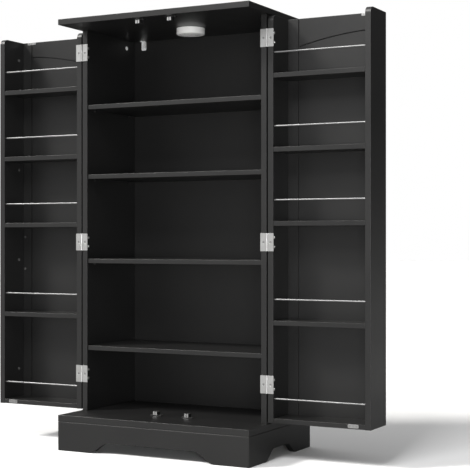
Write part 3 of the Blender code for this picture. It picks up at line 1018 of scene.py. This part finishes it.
def build_light():
    """Puck light: a rounded cup, and a ribbed diffuser that presses in."""
    low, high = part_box("light_housing")
    centre = ((low.x + high.x) / 2, (low.y + high.y) / 2)
    radius = (high.x - low.x) / 2
    mouth = radius - CUP_WALL
    profile = [(0, high.z), (radius - 0.0006, high.z), (radius, high.z - 0.0006)]
    for step in range(9):
        angle = math.pi / 2 * step / 8
        x = radius - CUP_ROUND * (1 - math.cos(angle))
        profile.append((x, low.z + CUP_ROUND * (1 - math.sin(angle))))
    profile += [(mouth + 0.0003, low.z), (mouth, low.z + 0.0003)]
    profile += [(mouth, high.z - CUP_ROOF), (0, high.z - CUP_ROOF)]
    cup = turned("light_cup", profile, centre)
    smooth(cup, 32.0)
    fit(cup, "carcass", "light_plastic", "housing", "light_housing")
    build_lens(centre)


def build_lens(centre):
    """The diffuser, with rings of fine ribs on its shallow dish."""
    low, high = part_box("light_lens")
    radius = (high.x - low.x) / 2
    profile = [(0, high.z), (radius, high.z), (radius, low.z + LENS_RIM), (radius - 0.0008, low.z + 0.0008)]
    for ring in range(LENS_RINGS):
        ring_radius = (radius - LENS_RIM) * (1 - ring / (LENS_RINGS + 3))
        height = low.z + 0.0006 * (ring_radius / radius) ** 2
        profile.append((ring_radius, height))
        profile.append((ring_radius - RIB_HALF, height + RIB_HIGH))
        profile.append((ring_radius - 2 * RIB_HALF, height))
    profile.append((0, low.z + 0.00002))
    lens = turned("light_diffuser", profile, centre)
    smooth(lens, 50.0)
    fit(lens, "light_lens", "light_diffuser", "diffuser", "light_lens")


def catch_model(node):
    """The black case and screwed foot of one catch, and its two bright poles, as two objects."""
    low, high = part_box(node)
    middle = (low.x + high.x) / 2
    foot = block("foot", (low.x, low.y + 0.001, low.z), (high.x, high.y - 0.001, low.z + CATCH_FOOT))
    round_edges(foot, 0.004, 5, lambda spot, along: abs(along.z) > 0.9)
    ease(foot, 0.0003, 2)
    case_low = (middle - CASE_HALF, low.y + 0.0012, low.z)
    case = block("case", case_low, (middle + CASE_HALF, high.y, high.z - 0.0003))
    ease(case, 0.0009, 3)
    poles = []
    for side in (-1, 1):
        inner, outer = sorted((middle + side * POLE_NEAR, middle + side * POLE_FAR))
        pole = block("pole", (inner, low.y, low.z + 0.0016), (outer, low.y + POLE_DEPTH, high.z))
        ease(pole, 0.0003, 2)
        poles.append(pole)
    for piece in (foot, case, *poles):
        smooth(piece, 35.0)
    return join("catch_case_model", [foot, case]), join("catch_poles_model", poles)


def build_catches():
    """Magnetic catches: one pair stands on the base, and the other hangs upside down from the top."""
    case, poles = catch_model("magnet_catch_right_low")
    screw = screw_model("catch_screw_model", 0.0028, 0.0010)
    right_low, right_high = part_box("magnet_catch_right_low")
    centre = (right_low + right_high) / 2
    for word, _ in SIDES:
        for level, upright in (("low", 1), ("high", -1)):
            node = f"magnet_catch_{word}_{level}"
            low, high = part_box(node)
            to_place = Matrix.Translation((low + high) / 2)
            place = to_place @ Matrix.Diagonal((1, 1, upright, 1)) @ Matrix.Translation(-centre)
            fit(copied(case, f"{node}_case", place), "carcass", "catch_steel", "pin black", node)
            fit(copied(poles, f"{node}_poles", place), "carcass", "catch_steel", "zinc")
            foot = (low.z if upright > 0 else high.z) + upright * 0.0018
            places = []
            for shift in (-CATCH_SCREW, CATCH_SCREW):
                spot = ((low.x + high.x) / 2 + shift, (low.y + high.y) / 2, foot)
                places.append(facing(spot, (0, 0, upright)))
            fit(set_out(screw, f"{node}_screws", places), "carcass", "catch_steel", "pin black")
    put_away(case, poles, screw)


def strike_plate(name, centre, tall):
    """A thin plate facing -Y with rounded corners."""
    x, y, z = centre
    half = STRIKE_WIDE / 2
    plate = block(name, (x - half, y - STRIKE_THICK, z - tall / 2), (x + half, y, z + tall / 2))
    round_edges(plate, min(0.0025, tall * 0.3), 5, lambda middle, along: abs(along.y) > 0.9)
    ease(plate, 0.0002, 2)
    smooth(plate, 35.0)
    return plate


def build_strikes():
    screw = screw_model("strike_screw_model", 0.0024, 0.0005)
    for word, side in SIDES:
        panel_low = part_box(f"door_panel_{word}")[0]
        tray_low, tray_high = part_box(f"door_tray_{word}_1")
        tray_middle = (tray_low.z + tray_high.z) / 2
        spots = (
            ("high", (side * 0.5435, panel_low.y - 0.00005, 1.1817), 0.0068),
            ("low", (side * 0.5425, tray_low.y - 0.00005, tray_middle + 0.001), 0.0098),
        )
        for level, centre, tall in spots:
            plate = strike_plate(f"strike_plate_{word}_{level}", centre, tall)
            fit(plate, f"door_{word}", "catch_steel", "strike steel")
            x, y, z = centre
            y = y - STRIKE_THICK + 0.0002
            places = [facing((x + shift, y, z), (0, -1, 0)) for shift in STRIKE_SCREWS]
            heads = set_out(screw, f"strike_screws_{word}_{level}", places)
            fit(heads, f"door_{word}", "catch_steel", "screw steel")
    put_away(screw)


def bracket_leaf(name, low, high, thin, rounding):
    """A flat leaf of the bracket with its lower corners rounded; thin is the axis of its thickness."""
    leaf = block(name, low, high)
    round_edges(leaf, rounding, 6, lambda spot, along: spot.z < low[2] + GAP and abs(along[thin]) > 0.9)
    return leaf


def build_wall_bracket():
    """Pressed angle on the back panel: a screwed plate, a top tongue, and a side wing with an eyelet."""
    low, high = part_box("wall_bracket")
    right = low.x + PLATE_WIDE
    plate = bracket_leaf("plate", (low.x, high.y - SHEET, low.z), (right, high.y, high.z), 1, 0.0045)
    wing_low = (right - SHEET, high.y - WING_DEPTH, low.z + 0.007)
    wing = bracket_leaf("wing", wing_low, (right, high.y, high.z), 0, 0.003)
    eye = Vector((right - SHEET / 2, high.y - 0.006, (low.z + high.z) / 2 + 0.002))
    reach = Vector((0.01, 0, 0))
    cut_away(wing, rod("eyelet", eye - reach, eye + reach, EYELET_RADIUS, 24))
    tongue = block("tongue", (low.x + 0.004, low.y, high.z - SHEET), (right - 0.004, high.y, high.z))
    round_edges(tongue, 0.003, 5, lambda spot, along: spot.y < low.y + GAP and abs(along.z) > 0.9)
    for piece in (plate, wing, tongue):
        ease(piece, 0.0003, 2)
        smooth(piece, 35.0)
    bracket = join("wall_bracket_finished", [plate, wing, tongue])
    fit(bracket, "carcass", "bracket_white", "white coat", "wall_bracket")
    screw = screw_model("bracket_screw_model", 0.0030, 0.0012)
    x, y = (low.x + right) / 2 - 0.0008, high.y - SHEET - 0.0001
    places = [facing((x, y, low.z + rise), (0, -1, 0)) for rise in (0.007, 0.0175)]
    fit(set_out(screw, "wall_bracket_screws", places), "carcass", "bracket_white", "white coat")
    put_away(screw)


# ---- small trim


def cover_model(radius):
    """A cam-lock cover: a thin disc with a raised rim and a cross recess."""
    disc = rod("cover_model", (0, 0, 0), (0, 0, 0.0012), radius, 32)
    open_up(disc)
    pick("FACE", lambda middle, out: out.z > 0.9)
    bpy.ops.mesh.inset(thickness=0.0010, depth=-0.0004)
    close_up()
    for turn in (0, 90):
        slot = block("slot", (-radius * 0.5, -0.0005, 0.0003), (radius * 0.5, 0.0005, 0.002))
        slot.data.transform(Matrix.Rotation(math.radians(turn), 4, "Z"))
        cut_away(disc, slot)
    ease(disc, 0.0002, 2, 40.0)
    smooth(disc, 35.0)
    return disc


def build_cam_covers():
    cover = cover_model(0.0046)
    for word, side in SIDES:
        low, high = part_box(f"free_wall_{word}")
        x, y = low.x if side > 0 else high.x, high.y - COVER_IN
        places = [facing((x, y, z), (-side, 0, 0)) for z in COVER_HEIGHTS]
        fit(set_out(cover, f"cam_covers_{word}", places), f"door_{word}", "black_lacquer", "cover grey")
    big = cover_model(0.0058)
    for word, side in SIDES:
        low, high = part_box(f"side_panel_{word}")
        inner_x = low.x if side > 0 else high.x
        spot = copied(big, f"side_cover_{word}", facing((inner_x, *SIDE_COVER), (-side, 0, 0)))
        fit(spot, "carcass", "bracket_white", "white coat")
    put_away(cover, big)


def build_handle_screws():
    """Washer-head screws on the free stile's inner face, opposite the handle's feet."""
    screw = screw_model("handle_screw_model", 0.0036, 0.0016)
    for word, _ in SIDES:
        low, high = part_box(f"handle_{word}")
        radius = (high.x - low.x) / 2
        x, y = (low.x + high.x) / 2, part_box(f"door_panel_{word}")[0].y
        places = [facing((x, y, z), (0, -1, 0)) for z in (low.z + radius, high.z - radius)]
        fit(set_out(screw, f"handle_screws_{word}", places), f"door_{word}", "handle_nickel", "cover grey")
    put_away(screw)


def shelf_pin_model():
    """A shelf support along +Z: a round spigot and its collar."""
    spigot = rod("spigot", (0, 0, -0.002), (0, 0, 0.0075), 0.0024, 20)
    collar = rod("collar", (0, 0, 0), (0, 0, 0.0014), 0.0040, 24)
    for piece in (spigot, collar):
        ease(piece, 0.0004, 2, 50.0)
        smooth(piece, 35.0)
    return join("shelf_pin_model", [spigot, collar])


def build_shelf_pins():
    pin = shelf_pin_model()
    for number in range(1, 5):
        low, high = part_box(f"cabinet_shelf_{number}")
        places = []
        for word, side in SIDES:
            inner_x = side * abs(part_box(f"side_panel_{word}")[0 if side > 0 else 1].x)
            for y in (low.y + 0.032, high.y - 0.034):
                places.append(facing((inner_x, y, low.z - PIN_DROP), (-side, 0, 0)))
        fit(set_out(pin, f"shelf_pins_{number}", places), "carcass", "black_lacquer", "pin black")
    put_away(pin)


def build_back_nails():
    """Panel pins around the rear edge of the back panel."""
    low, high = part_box("back_panel")
    nail = rod("nail_model", (0, 0, 0), (0, 0, 0.0006), 0.0019, 12)
    ease(nail, 0.0003, 2, 50.0)
    smooth(nail, 35.0)
    left, right = low.x + NAIL_INSET, high.x - NAIL_INSET
    foot, head = low.z + NAIL_INSET, high.z - NAIL_INSET
    spots = []
    for row in range(NAIL_ROWS):
        z = foot + (high.z - low.z - 2 * NAIL_INSET) * row / (NAIL_ROWS - 1)
        spots += [(left, z), (right, z)]
    for column in range(1, NAIL_COLUMNS - 1):
        x = left + (high.x - low.x - 2 * NAIL_INSET) * column / (NAIL_COLUMNS - 1)
        spots += [(x, foot), (x, head)]
    places = [facing((x, high.y, z), (0, 1, 0)) for x, z in spots]
    fit(set_out(nail, "back_nails", places), "carcass", "hinge_nickel", "screw steel")
    put_away(nail)


# ---- studio


def studio_floor():
    """A pale floor that is bright to the eye but throws little light back up."""
    clear_selection()
    bpy.ops.mesh.primitive_plane_add(size=60.0, location=(0, 0, -0.0002))
    floor = named("studio_floor")
    made, tree, shader = new_finish("pale floor", Roughness=0.85, Specular_IOR_Level=0.1)
    place = place_node(tree, "ShaderNodeTexCoord").outputs["Object"]
    pale = blended(tree, noise(tree, place, 3.0, 4.0), (0.92, 0.92, 0.92), (0.94, 0.94, 0.94))
    seen = place_node(tree, "ShaderNodeLightPath").outputs["Is Camera Ray"]
    tree.links.new(blended(tree, seen, (0.42, 0.42, 0.42), pale), shader["Base Color"])
    floor.data.materials.append(made)


def hang_light(name, light, place, travel):
    """Put a lamp in the scene, shining along a direction."""
    holder = new_object(name, light)
    holder.location = place
    holder.rotation_euler = Vector(travel).to_track_quat("-Z", "Y").to_euler()


def area_light(name, place, target, size, power):
    light = bpy.data.lights.new(name, "AREA")
    light.shape = "RECTANGLE"
    light.size, light.size_y = size
    light.energy = power
    hang_light(name, light, place, Vector(target) - Vector(place))


def studio_world():
    """White surroundings behind; as a light they are bright on the left and above, and dim on the right."""
    world = bpy.data.worlds.new("studio")
    bpy.context.scene.world = world
    world.use_nodes = True
    tree = world.node_tree
    tree.nodes.clear()
    direction = place_node(tree, "ShaderNodeTexCoord").outputs["Generated"]
    axes = place_node(tree, "ShaderNodeSeparateXYZ", {0: direction}).outputs
    left = scaled(tree, axes["X"], -1.0, 0.0, SURROUND_LEFT, 0.0)
    above = scaled(tree, axes["Z"], 0.0, 1.0, 0.0, SURROUND_ABOVE)
    felt = place_node(tree, "ShaderNodeBackground", {"Strength": arithmetic(tree, "ADD", left, above)})
    felt.inputs["Color"].default_value = (1, 1, 1, 1)
    seen = place_node(tree, "ShaderNodeBackground", {"Color": (1, 1, 1, 1), "Strength": 1.0})
    path = place_node(tree, "ShaderNodeLightPath")
    mix = place_node(tree, "ShaderNodeMixShader", {0: path.outputs["Is Camera Ray"]})
    tree.links.new(felt.outputs[0], mix.inputs[1])
    tree.links.new(seen.outputs[0], mix.inputs[2])
    out = place_node(tree, "ShaderNodeOutputWorld")
    tree.links.new(mix.outputs[0], out.inputs["Surface"])


def key_light():
    light = bpy.data.lights.new("key", "SUN")
    light.energy = KEY_STRENGTH
    light.angle = math.radians(KEY_SPREAD)
    light.color = KEY_COLOUR
    hang_light("key", light, (0, 0, 0), KEY_TRAVEL)


def build_studio():
    """A soft key from the upper left, a card above the front, and a low fill from the right."""
    studio_floor()
    studio_world()
    key_light()
    area_light("top_card", (0.4, -2.6, 3.0), (0, 0, 0.6), (1.4, 1.4), 98.0)
    area_light("low_fill", (2.4, -3.6, 0.5), (0, 0, 0.7), (1.0, 0.6), 75.0)
    bpy.context.scene.view_settings.view_transform = "Standard"


def build_camera():
    lens = bpy.data.cameras.new("camera")
    lens.sensor_width = 36.0
    lens.lens = 96.54
    lens.shift_y = 0.0092
    lens.clip_end = 200.0
    camera = new_object("camera", lens)
    camera.location = (1.7776, -3.0808, 0.5897)
    camera.rotation_euler = (math.pi / 2, 0, math.radians(27.717))
    bpy.context.scene.camera = camera


build_camera()
build_flat_boards()
build_plinth()
build_doors()
build_handles()
build_hinges()
build_light()
build_catches()
build_strikes()
build_wall_bracket()
build_cam_covers()
build_handle_screws()
build_shelf_pins()
build_back_nails()
build_studio()

clear_selection()
